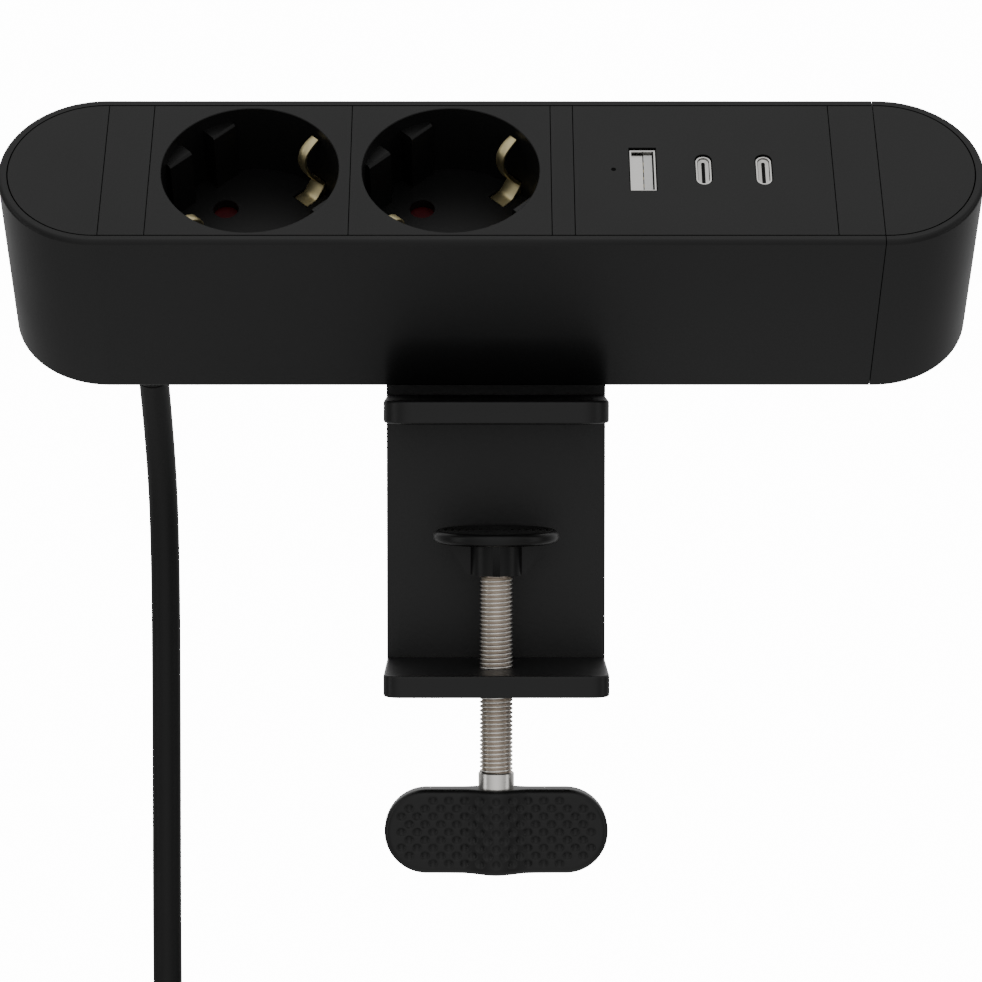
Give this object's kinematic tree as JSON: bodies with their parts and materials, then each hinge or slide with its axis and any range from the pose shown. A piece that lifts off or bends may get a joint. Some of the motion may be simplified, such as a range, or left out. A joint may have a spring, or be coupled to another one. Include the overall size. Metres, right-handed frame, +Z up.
{
  "type": "clamp-on desk power strip",
  "caption": "Long round-ended power strip leaning back on a desk clamp, with earthed sockets, USB charger ports and a mains lead.",
  "frame": {"origin": "where the clamp screw's axis meets the desk top, on the upper jaw's rubber pad", "axes": "+Z up, +X along the body, +Y away from the user, towards the clamp's back plate"},
  "size_m": [0.2212, 0.119, 0.3457],
  "materials": {
    "satin_black_housing": "fine satin, moulded",
    "black_face_plastic": "fine satin, moulded",
    "black_powder_coat": "satin powder coat",
    "brass": "pale rolled brass",
    "red_plastic": "moulded",
    "spring_steel": "plain",
    "grey_insulator": "moulded",
    "zinc_steel": "zinc plated",
    "nickel_shell": "nickel plated",
    "white_plastic": "moulded",
    "black_tongue": "moulded",
    "board_green": "coated laminate",
    "component_grey": "mixed components",
    "black_rubber": "ribbed",
    "lead_jacket": "satin PVC",
    "tie_fabric": "woven hook-and-loop",
    "nylon_bush": "natural nylon",
    "gloss_black_plastic": "semi-gloss moulded",
    "knob_plastic": "moulded with dimples",
    "nickel_screw": "nickel plated, turned"
  },
  "bodies": {
    "strip": {"base_cover": "satin_black_housing", "base_screws": "zinc_steel", "cable_gland": "lead_jacket", "centre_spacer": "black_face_plastic", "charger_board": "board_green", "charger_components": "component_grey", "clamp_frame": "black_powder_coat", "coil_tie": "tie_fabric", "earth_busbar": "brass", "flange_screws": "zinc_steel", "housing_shell": "satin_black_housing", "jaw_pad": "black_rubber", "lead_coil": "lead_jacket", "lead_tail": "lead_jacket", "left_end_insert": "black_face_plastic", "left_spacer": "black_face_plastic", "live_busbar": "brass", "mains_lead": "lead_jacket", "neutral_busbar": "brass", "plug_body": "lead_jacket", "plug_earth_contacts": "spring_steel", "plug_pins": "nickel_shell", "right_end_cap": "satin_black_housing", "right_end_insert": "black_face_plastic", "right_spacer": "black_face_plastic", "socket_1_contact_carrier": "grey_insulator", "socket_1_earth_clips": "brass", "socket_1_face": "black_face_plastic", "socket_1_pin_contacts": "brass", "socket_1_shutter_spring": "spring_steel", "socket_2_contact_carrier": "grey_insulator", "socket_2_earth_clips": "brass", "socket_2_face": "black_face_plastic", "socket_2_pin_contacts": "brass", "socket_2_shutter_spring": "spring_steel", "status_light_pipe": "white_plastic", "terminal_block": "grey_insulator", "terminal_screws": "zinc_steel", "threaded_inserts": "brass", "usb_a_shell": "nickel_shell", "usb_a_tongue": "white_plastic", "usb_c_shells": "nickel_shell", "usb_c_tongues": "black_tongue", "usb_face": "black_face_plastic"},
    "swivel": {"swivel_bush": "nylon_bush"},
    "screw": {"clamp_screw": "nickel_screw", "retaining_clip": "spring_steel", "screw_collar": "nickel_screw", "knob": "knob_plastic"},
    "pad": {"pad_base": "gloss_black_plastic", "pad_rubber": "black_rubber", "pad_retainer": "nylon_bush"},
    "shutter_1": {"socket_1_shutter": "red_plastic"},
    "shutter_2": {"socket_2_shutter": "red_plastic"}
  },
  "joints": [
    {"name": "screw_turn", "type": "hinge", "parent": "swivel", "child": "screw", "pos_m": [0, 0, -0.031], "axis": [0, 0, 1], "range_deg": [-7565, 6485]},
    {"name": "screw_travel", "type": "slide", "parent": "strip", "child": "swivel", "axis": [0, 0, 1], "range_m": [-0.021, 0.018]},
    {"name": "pad_tilt", "type": "hinge", "parent": "swivel", "child": "pad", "pos_m": [0, 0, -0.031], "axis": [1, 0, 0], "range_deg": [-5, 5]},
    {"name": "socket_1_shutter_turn", "type": "hinge", "parent": "strip", "child": "shutter_1", "pos_m": [-0.05527, -0.00022, 0.04172], "axis": [0, -0.7071, 0.7071], "range_deg": [0, 38], "stiffness_Nm_per_rad": 0.004, "springref_deg": -11.46},
    {"name": "socket_2_shutter_turn", "type": "hinge", "parent": "strip", "child": "shutter_2", "pos_m": [-0.01027, -0.00022, 0.04172], "axis": [0, -0.7071, 0.7071], "range_deg": [0, 38], "stiffness_Nm_per_rad": 0.004, "springref_deg": -11.46}
  ],
  "couplings": [
    {"joint": "screw_turn", "follows": "screw_travel", "rad_per_m": 6283.2}
  ]
}
